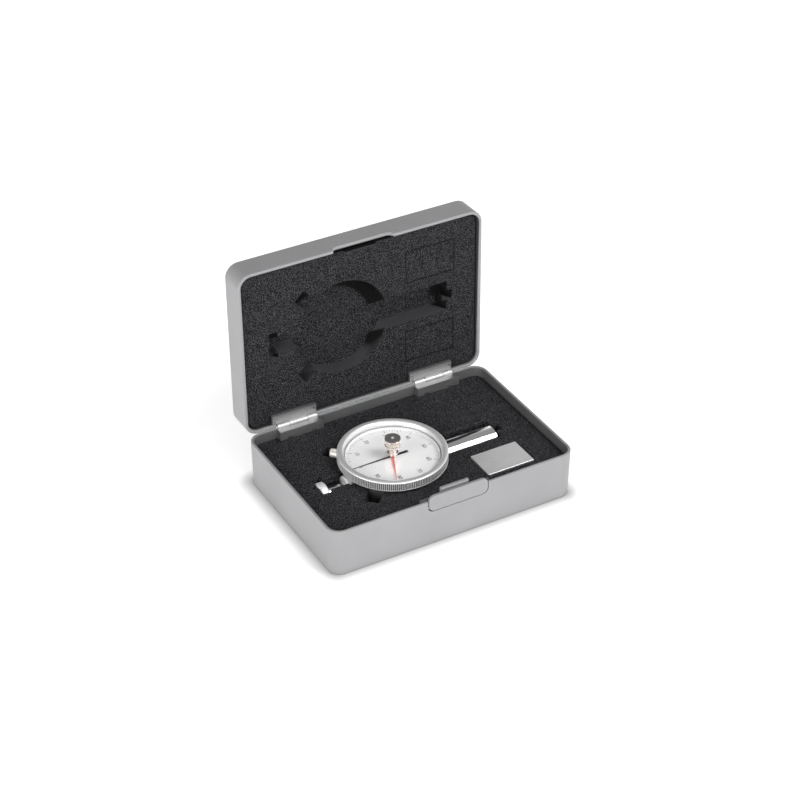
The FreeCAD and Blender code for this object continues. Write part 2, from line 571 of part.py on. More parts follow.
def hairspring():
    """A flat spiral of half turns between the arbor's collet and the stud."""
    turns, inner = 5, 1.2
    step = (HAIRSPRING_OUTER - inner) / turns / 2
    cx, cy, z, thickness = GX - ARBOR_DX, GY - ARBOR_DY, 21.6, 0.14
    edges = []
    for offset in (-thickness / 2, thickness / 2):
        side, radius, centre = 1, inner, 0.0
        line = []
        for i in range(2 * turns):
            r = radius + offset
            first = V(cx + centre + side * r, cy, z)
            middle = V(cx + centre, cy + side * r, z)
            last = V(cx + centre - side * r, cy, z)
            line.append(Part.Arc(first, middle, last).toShape())
            side, centre, radius = -side, centre + side * step / 2, radius + step / 2
        edges.append(line)
    inner_line, outer_line = edges
    start = Part.LineSegment(inner_line[0].Vertexes[0].Point, outer_line[0].Vertexes[0].Point)
    end = Part.LineSegment(inner_line[-1].Vertexes[-1].Point, outer_line[-1].Vertexes[-1].Point)
    outline = inner_line + outer_line + [start.toShape(), end.toShape()]
    return Part.Face(Part.Wire(Part.__sortEdges__(outline))).extrude(V(0, 0, 0.5))


def main_spring():
    """The calibrated coil spring between the plunger's shoulder and the tube's cap."""
    wire, coil, start, end = 0.45, 4.6, SHOULDER_END + 0.5, 45.4
    helix = Part.makeHelix(2.6, end - start, coil)
    section = Part.Wire(Part.makeCircle(wire, V(coil, 0, 0), Y))
    coil_solid = Part.Wire(helix).makePipeShell([section], True, True)
    coil_solid.rotate(V(0, 0, 0), Y, 90)
    coil_solid.translate(V(start, GY, ROD_Z))
    return coil_solid


def plunger():
    body = join([lengthwise(PLUNGER_RADIUS, PLUNGER_FRONT, SHOULDER_END),
                 lengthwise(5.3, SHOULDER_START, SHOULDER_END)])
    return body.cut(rack_cuts() + [lengthwise(INDENTER_RADIUS, PLUNGER_FRONT - 1, -47.0)])


def indenter():
    tip = FOOT_FACE - TRAVEL
    cone_length = (INDENTER_RADIUS - INDENTER_TIP_RADIUS) / math.tan(math.radians(17.5))
    point = cone(INDENTER_TIP_RADIUS, INDENTER_RADIUS, (tip, GY, ROD_Z), cone_length, X)
    return join([point, lengthwise(INDENTER_RADIUS, tip + cone_length, -47.0)])


save("case_base", case_base())
save("case_lid", case_lid())
save("base_foam", base_foam())
save("lid_foam", lid_foam())
save("check_block", check_block())
for side, left_end in HINGE_SIDES.items():
    save("hinge_lid_leaf_" + side, lid_leaf(left_end))
    save("hinge_base_leaf_" + side, base_leaf(left_end))
    save("hinge_pin_" + side, barrel_rod(left_end, HINGE_PIN_RADIUS, BARREL_START, BARREL_END))
save("latch", latch())
save("latch_pin", latch_rod(LATCH_PIN_RADIUS))

save("housing", housing())
save("back_cover", back_cover())
save("back_cover_screws", *back_cover_screws())
save("handle_tube", lengthwise_tube(TUBE_RADIUS, TUBE_BORE, TUBE_START, TUBE_END))
save("tube_cap", tube_cap())
save("neck_tube", lengthwise_tube(NECK_RADIUS, NECK_BORE, FOOT_BACK, GX - 24.6))
save("neck_collar", neck_collar())
save("presser_foot", presser_foot())
save("snap_ring", upright_ring(HOUSING_RADIUS + 0.45, HOUSING_RADIUS - 0.35, 26.05, 26.45))
save("bezel", bezel())
save("dial_plate", upright_ring(DIAL_RADIUS, 1.2, DIAL_BOTTOM, DIAL_TOP))
save("crystal_ring", upright_ring(DIAL_RADIUS, 25.6, DIAL_TOP, CRYSTAL_BOTTOM))
save("crystal", upright_ring(BEZEL_WINDOW, 2.2, CRYSTAL_BOTTOM, CRYSTAL_TOP))
save("clamp_screw", clamp_screw())

save("knob_bushing", knob_bushing())
save("knob_washer", upright_ring(2.2, 0.8, 31.6, 31.8))
save("reset_knob", reset_knob())
save("knob_cap", upright_ring(4.3, 0.8, 38.3, 38.9))
save("drag_spindle", upright(0.8, 27.15, 39.0))
save("drag_hand", drag_hand())
save("main_pointer", main_pointer())

save("movement_base_plate", base_plate())
save("movement_pillars", *pillars())
save("movement_top_plate", top_plate())
save("plate_screws", *plate_screws())
save("bridge_posts", *[upright(1.6, BASE_PLATE_TOP, BRIDGE_Z, 0, y) for y in (-16.2, 16.2)])
save("centre_bridge", centre_bridge())
centre_gear = spur_gear(CENTRE_TEETH, GEAR_MODULE, GEAR_Z - 0.5, GEAR_TOP + 0.5, 0, 0,
                        LINE_ANGLE + math.pi / CENTRE_TEETH)
save("centre_pinion", join([centre_gear, arbor(BRIDGE_Z + 0.1, 26.98)]))
rack_gear = spur_gear(GEAR_TEETH, GEAR_MODULE, GEAR_Z, GEAR_TOP, ARBOR_DX, ARBOR_DY,
                      LINE_ANGLE + math.pi)
save("rack_gear", rack_gear.cut(arbor(0, 30, ARBOR_DX, ARBOR_DY)))
rack_teeth = spur_gear(RACK_PINION_TEETH, RACK_MODULE, 14.6, 17.4, ARBOR_DX, ARBOR_DY, -math.pi / 2)
save("rack_pinion", join([rack_teeth, arbor(BASE_PLATE_Z + 0.2, TOP_PLATE_TOP - 0.1, ARBOR_DX, ARBOR_DY)]))
hair_gear = spur_gear(GEAR_TEETH, GEAR_MODULE, GEAR_Z, GEAR_TOP, -ARBOR_DX, -ARBOR_DY, LINE_ANGLE)
save("hairspring_gear", hair_gear.cut(arbor(0, 30, -ARBOR_DX, -ARBOR_DY)))
save("hairspring_arbor", join([arbor(BASE_PLATE_Z + 0.2, TOP_PLATE_TOP - 0.1, -ARBOR_DX, -ARBOR_DY),
                               upright(1.05, 21.3, 22.3, -ARBOR_DX, -ARBOR_DY)]))
save("hairspring", hairspring())
save("plunger", plunger())
save("indenter", indenter())
save("main_spring", main_spring())
save("front_bush", lengthwise_tube(NECK_BORE, PLUNGER_RADIUS + RUN, -50.0, -44.0))
save("rear_bush", lengthwise_tube(TUBE_BORE, PLUNGER_RADIUS + RUN, TUBE_START + 0.2, SHOULDER_START - 0.2))
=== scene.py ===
"""Looks of the cased dial hardness gauge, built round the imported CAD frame.

Lengths are in metres. Those given in millimetres are multiplied by MM where they are used."""
import json
import math

import bmesh
import bpy
import numpy as np
from mathutils import Matrix, Vector, noise


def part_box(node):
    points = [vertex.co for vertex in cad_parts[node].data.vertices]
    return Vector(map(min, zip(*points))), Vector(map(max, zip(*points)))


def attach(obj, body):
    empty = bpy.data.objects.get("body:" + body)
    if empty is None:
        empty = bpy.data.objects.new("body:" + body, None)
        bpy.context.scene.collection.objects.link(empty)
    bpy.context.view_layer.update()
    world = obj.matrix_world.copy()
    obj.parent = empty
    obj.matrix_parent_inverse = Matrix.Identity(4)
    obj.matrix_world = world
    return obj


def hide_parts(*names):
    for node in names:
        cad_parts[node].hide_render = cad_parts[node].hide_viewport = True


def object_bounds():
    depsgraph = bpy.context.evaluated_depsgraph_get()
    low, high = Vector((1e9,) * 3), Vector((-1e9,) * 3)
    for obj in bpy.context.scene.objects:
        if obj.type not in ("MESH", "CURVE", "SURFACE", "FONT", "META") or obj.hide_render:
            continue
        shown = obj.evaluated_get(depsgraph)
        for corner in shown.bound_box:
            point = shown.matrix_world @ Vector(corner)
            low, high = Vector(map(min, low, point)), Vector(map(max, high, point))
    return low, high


MM = 0.001

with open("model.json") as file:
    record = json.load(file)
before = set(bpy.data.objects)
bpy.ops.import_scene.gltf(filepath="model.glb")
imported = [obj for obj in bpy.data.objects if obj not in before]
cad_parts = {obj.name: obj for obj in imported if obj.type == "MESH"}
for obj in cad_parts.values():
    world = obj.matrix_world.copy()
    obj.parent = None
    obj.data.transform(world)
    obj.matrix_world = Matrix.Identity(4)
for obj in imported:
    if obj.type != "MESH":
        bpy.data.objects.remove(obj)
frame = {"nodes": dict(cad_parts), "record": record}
cad_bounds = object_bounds()
nodes = frame["nodes"]
slot_of = {part["node"]: part["material_slot"] for part in frame["record"]["subparts"]}


def middle(node):
    """The middle of a node's box."""
    low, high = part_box(node)
    return (low + high) / 2


DIAL_X, DIAL_Y = middle("dial_plate").xy
DIAL_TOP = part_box("dial_plate")[1].z

# ---- camera ------------------------------------------------------------------------------------
CAMERA_TURN, CAMERA_RISE = math.radians(-29.59), math.radians(34.35)
CAMERA_DISTANCE, CAMERA_LENS = 1.1656, 95.75
CAMERA_AIM_LEVEL, CAMERA_RIGHT, CAMERA_UP = 0.020, -0.00563, 0.03147


def make_camera():
    """The photo's view, fitted to the box's edges."""
    back = Vector((math.sin(CAMERA_TURN) * math.cos(CAMERA_RISE),
                   -math.cos(CAMERA_TURN) * math.cos(CAMERA_RISE), math.sin(CAMERA_RISE)))
    turn = (-back).to_track_quat("-Z", "Y")
    data = bpy.data.cameras.new("camera")
    data.lens = CAMERA_LENS
    data.clip_start, data.clip_end = 0.01, 20.0
    camera = bpy.data.objects.new("camera", data)
    bpy.context.scene.collection.objects.link(camera)
    camera.rotation_mode = "QUATERNION"
    camera.rotation_quaternion = turn
    side = turn @ Vector((1, 0, 0))
    up = turn @ Vector((0, 1, 0))
    aim = Vector((0, 0, CAMERA_AIM_LEVEL)) + side * CAMERA_RIGHT + up * CAMERA_UP
    camera.location = aim + back * CAMERA_DISTANCE
    bpy.context.scene.camera = camera


make_camera()

# ---- materials ---------------------------------------------------------------------------------


class Paint:
    """A material under construction: its nodes, and short ways to add and join them."""

    def __init__(self, name, colour, roughness, metallic=0.0, **sockets):
        self.material = bpy.data.materials.new(name)
        self.material.use_nodes = True
        self.tree = self.material.node_tree
        self.shader = self.tree.nodes["Principled BSDF"]
        self.shader.inputs["Base Color"].default_value = (*colour, 1)
        self.shader.inputs["Roughness"].default_value = roughness
        self.shader.inputs["Metallic"].default_value = metallic
        for socket, value in sockets.items():
            self.shader.inputs[socket.replace("_", " ")].default_value = value
        self.place = self.add("ShaderNodeTexCoord").outputs["Object"]

    def add(self, kind, settings=None, **values):
        node = self.tree.nodes.new(kind)
        for key, value in (settings or {}).items():
            setattr(node, key, value)
        for key, value in values.items():
            node.inputs[key].default_value = value
        return node

    def join(self, source, target):
        self.tree.links.new(source, target)

    def parts(self, vector):
        """The X, Y and Z of a vector."""
        split = self.add("ShaderNodeSeparateXYZ")
        self.join(vector, split.inputs[0])
        return split.outputs

    def stretched(self, scale):
        """Object coordinates scaled by three factors."""
        mapping = self.add("ShaderNodeMapping", Scale=scale)
        self.join(self.place, mapping.inputs["Vector"])
        return mapping.outputs["Vector"]

    def noise(self, scale, detail=2.0, place=None, roughness=0.5):
        node = self.add("ShaderNodeTexNoise", Scale=scale, Detail=detail, Roughness=roughness)
        self.join(place or self.place, node.inputs["Vector"])
        return node.outputs["Fac"]

    def cells(self, scale):
        node = self.add("ShaderNodeTexVoronoi", Scale=scale)
        self.join(self.place, node.inputs["Vector"])
        return node.outputs["Distance"]

    def spread(self, value, low, high, first=0.0, last=1.0):
        """Map a value from low..high to first..last, held at the ends."""
        node = self.add("ShaderNodeMapRange")
        for key, number in (("From Min", low), ("From Max", high), ("To Min", first), ("To Max", last)):
            node.inputs[key].default_value = number
        self.join(value, node.inputs["Value"])
        return node.outputs["Result"]

    def math(self, operation, first, second=0.0):
        node = self.add("ShaderNodeMath", {"operation": operation})
        for socket, value in zip(node.inputs, (first, second)):
            if isinstance(value, (int, float)):
                socket.default_value = value
            else:
                self.join(value, socket)
        return node.outputs[0]

    def length(self, first, second):
        """The length of a flat vector with these two parts."""
        squares = [self.math("MULTIPLY", part, part) for part in (first, second)]
        return self.math("SQRT", self.math("ADD", *squares))

    def past(self, value, low, high):
        """How far a coordinate lies past a range given in millimetres, negative inside it."""
        offset = self.math("SUBTRACT", value, (low + high) / 2 * MM)
        return self.math("SUBTRACT", self.math("ABSOLUTE", offset), (high - low) / 2 * MM)

    def tint(self, factor, first, last, share=None):
        """Base colour between two colours by a factor, and only a share of that colour where one is given."""
        node = self.add("ShaderNodeMix", {"data_type": "RGBA"})
        self.join(factor, node.inputs[0])
        node.inputs[6].default_value = (*first, 1)
        node.inputs[7].default_value = (*last, 1)
        colour = node.outputs[2]
        if share is not None:
            dimmed = self.add("ShaderNodeVectorMath", {"operation": "SCALE"})
            self.join(colour, dimmed.inputs[0])
            self.join(share, dimmed.inputs["Scale"])
            colour = dimmed.outputs[0]
        self.join(colour, self.shader.inputs["Base Color"])

    def rough(self, value):
        self.join(value, self.shader.inputs["Roughness"])

    def bump(self, height, strength, distance):
        node = self.add("ShaderNodeBump", Strength=strength, Distance=distance)
        self.join(height, node.inputs["Height"])
        self.join(node.outputs["Normal"], self.shader.inputs["Normal"])


def grey(value):
    return (value, value, value)


# the two moulded hollows, whose walls get painted shade, in millimetres: the plane in which their corners are
# round, low and high corner
BASE_HOLLOW = "XY", (-73.75, -49.25, 1.0), (73.75, 49.25, 29.1)
LID_HOLLOW = "XZ", (-73.6, 51.4, 30.0), (73.6, 65.6, 128.2)
HOLLOW_ROUND, HOLLOW_FADE = 7.0, 0.5
BASE_PAINTED_SHADE, LID_PAINTED_SHADE = 0.62, 0.8              # share of their brightness that painted shade takes off the hollows' walls


def inside_share(paint, flat, low, high):
    """One inside a box in millimetres, nought outside: the mask of painted shade on a hollow's walls. Its
    corners are round in the plane that flat names.
    """
    parts = paint.parts(paint.place)
    past = {axis: paint.past(parts[axis], first, last) for axis, first, last in zip("XYZ", low, high)}
    reach = [paint.math("MAXIMUM", paint.math("ADD", past.pop(axis), HOLLOW_ROUND * MM)) for axis in flat]
    outline = paint.math("SUBTRACT", paint.length(*reach), HOLLOW_ROUND * MM)
    depth, = past.values()
    return paint.spread(paint.math("MAXIMUM", outline, depth), -HOLLOW_FADE * MM, 0.0, 1.0, 0.0)


def moulded_plastic(name, painted_shade_share, hollow):
    """Grained plastic, with painted shade dimming the walls of its hollow by a share."""
    paint = Paint(name, grey(0.2), 0.5, Specular_IOR_Level=0.4)
    grain = paint.noise(5200)
    cloud = paint.noise(38, 3.0)
    # painted shade: the hollow's walls are darkened in the colour
    painted_shade = paint.math("MULTIPLY", inside_share(paint, *hollow), painted_shade_share)
    paint.tint(paint.spread(cloud, 0.3, 0.7), (0.196, 0.196, 0.2), (0.212, 0.212, 0.217),
               paint.math("SUBTRACT", 1.0, painted_shade))
    paint.rough(paint.spread(grain, 0.2, 0.8, 0.42, 0.58))
    paint.bump(grain, 0.22, 0.00004)
    return paint.material


# the open lid's foam in the XZ plane, in millimetres: the rectangles scored into it as left, right, bottom,
# top, and how far from a score's line it is fully dark and no longer dark
SCORES = [(27.6, 58.2, 95.2, 114.7), (27.2, 57.8, 44.3, 63.8)]
SCORE_MIDDLE, SCORE_EDGE = 0.22, 0.55
# its cuts, used for the painted shadow in them: the round one's middle and radius, the long ones' left,
# right, bottom, top, and the reach and half width of the two finger notches, which point down to the left and
# up to the left
ROUND_X, ROUND_Z, ROUND_RADIUS = -12.3, 79.3, 28.1
CUT_SLOTS = [(-52.4, -12.3, 74.9, 85.1), (-57.2, -51.8, 71.9, 88.3), (-12.3, 53.9, 70.5, 88.5),
             (53.6, 57.5, 76.7, 82.3)]
NOTCH_REACH, NOTCH_HALF = 37.3, 4.2
CUT_FACE, LID_LEAN = 52.95, 0.0157         # Y of the foam's face at the round cut's middle, and its lean
CUT_FADE, CUT_PAINTED_SHADE = 0.6, 0.1             # softness of the painted shadow's edge, and share of brightness inside it
FACE_SKIN = 0.3, 0.9                       # depths below the face between which its full painted light fades out
LIGHT_ACROSS, LIGHT_UP = 0.6, 0.66         # sideways travel of the painted light for each unit of depth
WALL_TONE = 0.25                           # where the smooth walls lie between the foam's dark and light


def scored_line(paint, left, right, bottom, top):
    """One on the outline of an upright rectangle, nought elsewhere."""
    parts = paint.parts(paint.place)
    past = paint.math("MAXIMUM", paint.past(parts["X"], left, right), paint.past(parts["Z"], bottom, top))
    return paint.spread(paint.math("ABSOLUTE", past), SCORE_MIDDLE * MM, SCORE_EDGE * MM, 1.0, 0.0)


def painted_cut_light(paint):
    """A painted-shadow mask: one on the foam's face and wherever light from the upper right reaches into a
    cut, nought in the shadow.
    """
    parts = paint.parts(paint.place)
    lean = paint.math("MULTIPLY", paint.math("SUBTRACT", parts["Z"], ROUND_Z * MM), LID_LEAN)
    face = paint.math("ADD", lean, CUT_FACE * MM)
    depth = paint.math("MAXIMUM", paint.math("SUBTRACT", parts["Y"], face))
    x = paint.math("ADD", parts["X"], paint.math("MULTIPLY", depth, LIGHT_ACROSS))
    z = paint.math("ADD", parts["Z"], paint.math("MULTIPLY", depth, LIGHT_UP))
    dx, dz = paint.math("SUBTRACT", x, ROUND_X * MM), paint.math("SUBTRACT", z, ROUND_Z * MM)
    past = paint.math("SUBTRACT", paint.length(dx, dz), ROUND_RADIUS * MM)
    for left, right, bottom, top in CUT_SLOTS:
        slot = paint.math("MAXIMUM", paint.past(x, left, right), paint.past(z, bottom, top))
        past = paint.math("MINIMUM", past, slot)
    for tilt in (math.sqrt(0.5), -math.sqrt(0.5)):
        rise, run = paint.math("MULTIPLY", dz, tilt), paint.math("MULTIPLY", dx, math.sqrt(0.5))
        along, aside = paint.math("ADD", run, rise), paint.math("SUBTRACT", run, rise)
        notch = paint.math("MAXIMUM", paint.past(along, -NOTCH_REACH, 0.0),
                           paint.past(aside, -NOTCH_HALF, NOTCH_HALF))
        past = paint.math("MINIMUM", past, notch)
    lit = paint.spread(past, -CUT_FADE * MM, CUT_FADE * MM, 1.0, 0.0)
    skin = paint.spread(depth, *(level * MM for level in FACE_SKIN), 1.0, 0.0)
    return paint.math("MAXIMUM", lit, skin)


def open_cell_foam(name, dark, light, in_lid=False):
    """Speckled foam. The lid's has scored lines, and cuts with smooth walls and a painted shadow on the
    light's side.
    """
    paint = Paint(name, grey(light), 0.95, Specular_IOR_Level=0.15)
    cells = paint.spread(paint.cells(2300), 0.1, 0.7)
    fine = paint.noise(3200, 3.0, roughness=0.75)
    height = paint.math("ADD", paint.math("MULTIPLY", cells, -0.6), fine)
    shade = paint.spread(height, 0.166, 0.656)
    share = None
    if in_lid:
        for score in SCORES:
            shade = paint.math("MULTIPLY", shade, paint.math("SUBTRACT", 1.0, scored_line(paint, *score)))
        facing = paint.parts(paint.add("ShaderNodeTexCoord").outputs["Normal"])["Y"]
        wall = paint.spread(paint.math("ABSOLUTE", facing), 0.4, 0.75, 1.0, 0.0)
        speckle = paint.math("MULTIPLY", shade, paint.math("SUBTRACT", 1.0, wall))
        shade = paint.math("ADD", speckle, paint.math("MULTIPLY", wall, WALL_TONE))
        # painted shadow in the lid's cuts, as from light falling in from the upper right
        share = paint.spread(painted_cut_light(paint), 0.0, 1.0, CUT_PAINTED_SHADE, 1.0)
    paint.tint(shade, (dark, dark, dark * 1.1), (light, light * 0.99, light * 1.08), share)
    paint.bump(height, 0.5, 0.0003)
    return paint.material


def brushed(name, colour, roughness, along, lines=9000, depth=0.35):
    """Satin metal with fine lines along one axis, sixty times as long as they are wide."""
    paint = Paint(name, colour, roughness, 1.0)
    scale = [lines] * 3
    scale["XYZ".index(along)] = lines / 60
    grain = paint.noise(1.0, 3.0, paint.stretched(scale), 0.6)
    cloud = paint.noise(160, 3.0)
    paint.rough(paint.spread(paint.math("ADD", grain, cloud), 0.6, 1.4, roughness - 0.08, roughness + 0.1))
    paint.bump(grain, depth, 0.00002)
    return paint.material


def plated(name, colour, roughness):
    """Bright plating with faint wipe marks."""
    paint = Paint(name, colour, roughness, 1.0)
    smears = paint.noise(420, 4.0, roughness=0.6)
    paint.rough(paint.spread(smears, 0.3, 0.7, roughness * 0.7, roughness * 1.5))
    paint.bump(paint.noise(1500), 0.04, 0.00002)
    return paint.material


def enamel(name, colour, roughness, metallic=0.0):
    """A smooth coat, part metallic where asked."""
    paint = Paint(name, colour, roughness, metallic)
    grain = paint.noise(3500)
    paint.rough(paint.spread(grain, 0.3, 0.7, roughness * 0.85, roughness * 1.15))
    paint.bump(grain, 0.06, 0.00002)
    return paint.material


BEZEL_TEETH, BEZEL_CUT = 180, 0.42
KNURL_DROP = 0.85                          # from the bezel's top down to its knurling, in millimetres
GROOVE_PAINTED_SHADE = 0.12                        # share of brightness left by painted shade at the bottom of the knurling's grooves


def knurled_satin(name, colour, roughness):
    """Satin plating with painted shade down in the bezel's knurling grooves."""
    low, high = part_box("bezel")
    radius = (high.x - low.x) / 2
    paint = Paint(name, colour, roughness, 0.55)
    parts = paint.parts(paint.place)
    across = [paint.math("SUBTRACT", parts[axis], centre) for axis, centre in zip("XY", middle("bezel"))]
    reach = paint.length(*across)
    ridge = paint.spread(reach, radius - BEZEL_CUT * MM, radius - 0.1 * MM)
    above = paint.math("GREATER_THAN", parts["Z"], high.z - (KNURL_DROP - 0.05) * MM)
    bore = paint.math("LESS_THAN", reach, radius - 2 * BEZEL_CUT * MM)
    plain = paint.math("MAXIMUM", paint.math("MAXIMUM", ridge, above), bore)
    # painted shade in the grooves, plain colour on the ridges, the lip above and the bore
    paint.tint(plain, tuple(GROOVE_PAINTED_SHADE * part for part in colour), colour)
    return paint.material


def clear_lens():
    """A thin clear lens: see-through, with a mirror share that grows towards the edge of view."""
    paint = Paint("clear_glass", (1, 1, 1), 0.03, 1.0)
    facing = paint.add("ShaderNodeLayerWeight", Blend=0.5).outputs["Facing"]
    edge = paint.math("ADD", paint.math("MULTIPLY", paint.math("POWER", facing, 4.0), 0.6), 0.035)
    clear = paint.add("ShaderNodeBsdfTransparent")
    mix = paint.add("ShaderNodeMixShader")
    paint.join(edge, mix.inputs[0])
    paint.join(clear.outputs[0], mix.inputs[1])
    paint.join(paint.shader.outputs[0], mix.inputs[2])
    paint.join(mix.outputs[0], paint.tree.nodes["Material Output"].inputs["Surface"])
    smears = paint.noise(90)
    paint.rough(paint.spread(smears, 0.3, 0.7, 0.02, 0.05))
    return paint.material


materials = {
    "box_plastic": moulded_plastic("box_plastic", BASE_PAINTED_SHADE, BASE_HOLLOW),
    "foam": open_cell_foam("foam", 0.003, 0.17, in_lid=True),
    "hinge_metal": brushed("hinge_metal", grey(0.45), 0.42, "X"),
    "chrome": plated("chrome", grey(0.86), 0.1),
    "nickel": plated("nickel", (0.82, 0.76, 0.71), 0.16),
    "steel": brushed("steel", grey(0.78), 0.34, "X"),
    "cast_metal": brushed("cast_metal", grey(0.6), 0.4, "Z"),
    "dial_enamel": enamel("dial_enamel", grey(0.98), 0.45),
    "white_plastic": enamel("white_plastic", grey(0.85), 0.3),
    "black_lacquer": enamel("black_lacquer", grey(0.02), 0.35),
    "red_lacquer": enamel("red_lacquer", (0.75, 0.06, 0.03), 0.35),
    "dark_cap": enamel("dark_cap", (0.1, 0.092, 0.09), 0.5),
    "brass": plated("brass", (0.78, 0.58, 0.28), 0.28),
    "clear_glass": clear_lens(),
}
# what looks a little different from the rest of its slot
# the base's foam is the same foam painted lighter than the lid's: painted light on its upward face
bed_foam_painted_lighter = open_cell_foam("bed_foam_painted_lighter", 0.007, 0.23)
satin_chrome = knurled_satin("satin_chrome", grey(0.67), 0.38)
pale_nickel = enamel("pale_nickel", (0.86, 0.84, 0.79), 0.35, 0.5)
bright_satin = enamel("bright_satin", grey(0.85), 0.5, 0.5)
own_finish = {
    "case_lid": moulded_plastic("lid_plastic", LID_PAINTED_SHADE, LID_HOLLOW),
    "check_block": brushed("ground_steel", grey(0.74), 0.55, "X", 6000, 0.25),
    "drag_spindle": enamel("bright_end", grey(0.6), 0.4),
    "presser_foot": bright_satin,
    "neck_collar": bright_satin,
}
for name, node in nodes.items():
    node.data.materials.clear()
    node.data.materials.append(own_finish.get(name, materials[slot_of[name]]))

# ---- mesh helpers ------------------------------------------------------------------------------
SHARP_ANGLE, FOAM_SHARP_ANGLE, ROUNDED_ANGLE = math.radians(35), math.radians(28), math.radians(40)
WELD_REACH = 0.001 * MM
COLUMNS_PER_TOOTH = 4


def add_object(name, mesh, slot, body, replaced=(), finish=None):
    """A piece that rides on a body and may stand for CAD nodes, in its slot's material or its own."""
    mesh.materials.clear()
    mesh.materials.append(finish or materials[slot])
    thing = bpy.data.objects.new(name, mesh)
    bpy.context.scene.collection.objects.link(thing)
    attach(thing, body)
    if replaced:
        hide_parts(*replaced)
    return thing


def new_mesh(name, points, faces):
    """A smooth-shaded mesh with outward faces and sharp edges."""
    mesh = bpy.data.meshes.new(name)
    mesh.from_pydata([tuple(p) for p in points], [], faces)
    mesh.validate()
    build = bmesh.new()
    build.from_mesh(mesh)
    bmesh.ops.recalc_face_normals(build, faces=build.faces)
    build.to_mesh(mesh)
    build.free()
    mesh.shade_smooth()
    mesh.set_sharp_from_angle(angle=SHARP_ANGLE)
    return mesh


def turned_ring(name, profile, teeth, depth, place):
    """A ring turned from (radius, level, knurled) points in mm, with straight knurling where marked."""
    columns = teeth * COLUMNS_PER_TOOTH
    points, faces = [], []
    for column in range(columns):
        angle = 2 * math.pi * column / columns
        cut = depth if column % COLUMNS_PER_TOOTH >= COLUMNS_PER_TOOTH / 2 else 0.0
        for radius, level, knurled in profile:
            r = (radius - cut * knurled) * MM
            points.append(place @ Vector((r * math.cos(angle), r * math.sin(angle), level * MM)))
    rows = len(profile)
    for column in range(columns):
        here, there = column * rows, (column + 1) % columns * rows
        for row in range(rows):
            up = (row + 1) % rows
            faces.append((here + row, there + row, there + up, here + up))
    return new_mesh(name, points, faces)


# ---- foam --------------------------------------------------------------------------------------
FOAM_VOXEL = 0.72 * MM
WEAR_SWELL, WEAR_SINK = 0.09, 0.06         # millimetres in and out of the cut face
WEAR_WAVES, WEAR_RIPPLES = 330, 900        # per metre


def foam_block(name, node, body, seed, finish=None):
    """The die-cut foam with soft, slightly uneven edges and faces."""
    source = bpy.data.objects.new("foam_source", nodes[node].data.copy())
    bpy.context.scene.collection.objects.link(source)
    weld = source.modifiers.new("weld", "WELD")
    weld.merge_threshold = WELD_REACH
    remesh = source.modifiers.new("remesh", "REMESH")
    remesh.mode = "VOXEL"
    remesh.voxel_size = FOAM_VOXEL
    wrap = source.modifiers.new("wrap", "SHRINKWRAP")
    wrap.target = nodes[node]
    wrap.wrap_method = "NEAREST_SURFACEPOINT"
    ready = source.evaluated_get(bpy.context.evaluated_depsgraph_get())
    mesh = bpy.data.meshes.new_from_object(ready)
    mesh.name = name
    bpy.data.objects.remove(source)
    place, normal = np.zeros(len(mesh.vertices) * 3), np.zeros(len(mesh.vertices) * 3)
    mesh.vertices.foreach_get("co", place)
    mesh.vertices.foreach_get("normal", normal)
    place, normal = place.reshape(-1, 3), normal.reshape(-1, 3)
    shift = Vector((seed, 2 * seed, 3 * seed))
    swell = np.array([noise.noise(Vector(p) * WEAR_WAVES + shift)
                      + 0.5 * noise.noise(Vector(p) * WEAR_RIPPLES + shift) for p in place])
    place += normal * ((swell * WEAR_SWELL - WEAR_SINK) * MM)[:, None]
    mesh.vertices.foreach_set("co", place.ravel())
    mesh.shade_smooth()
    mesh.set_sharp_from_angle(angle=FOAM_SHARP_ANGLE)
    block = add_object(name, mesh, "foam", body, (node,), finish)


foam_block("base_foam_block", "base_foam", "case", 3.1, bed_foam_painted_lighter)
foam_block("lid_foam_block", "lid_foam", "lid", 7.7)

# ---- bezel and knobs ---------------------------------------------------------------------------
KNOB_TEETH, CLAMP_TEETH, KNOB_CUT = 56, 40, 0.18
STEM_RADIUS, NECK_RADIUS, SPINDLE_BORE = 1.0, 2.2, 0.8
CORE = 0.02                                # a hole too small to see, where a turned ring should be solid
BEZEL_BORE, BEZEL_WINDOW, BEZEL_LEDGE = 27.26, 26.5, 27.4   # radii, and the level where the bore narrows
CLAMP_HEAD = 5.6                           # length of the clamp screw's knob
EDGE_ROUND = 0.12
DIAL_PLACE = Matrix.Translation((DIAL_X, DIAL_Y, 0))


def knurled_bezel():
    """The bezel: a knurled band under a rounded lip that slopes in to the window."""
    low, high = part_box("bezel")
    outer, bottom, top = (high.x - low.x) / 2 / MM, low.z / MM, high.z / MM
    bore, window, ledge = BEZEL_BORE, BEZEL_WINDOW, BEZEL_LEDGE
    profile = [
        (bore, bottom, 0), (outer - 0.6, bottom, 0), (outer - 0.2, bottom + 0.15, 0),
        (outer, bottom + 0.45, 0), (outer, bottom + 0.6, 1), (outer, top - KNURL_DROP, 1),
        (outer, top - 0.7, 0), (outer - 0.1, top - 0.45, 0), (outer - 0.35, top - 0.15, 0),
        (outer - 0.8, top, 0), (window + 1.2, top - 0.05, 0), (window + 0.8, top - 0.3, 0),
        (window + 0.5, top - 1.0, 0), (window, top - 2.0, 0), (window, ledge, 0), (bore, ledge, 0)]
    mesh = turned_ring("knurled_bezel", profile, BEZEL_TEETH, BEZEL_CUT, DIAL_PLACE)
    add_object("knurled_bezel", mesh, "chrome", "bezel", ("bezel",), satin_chrome)


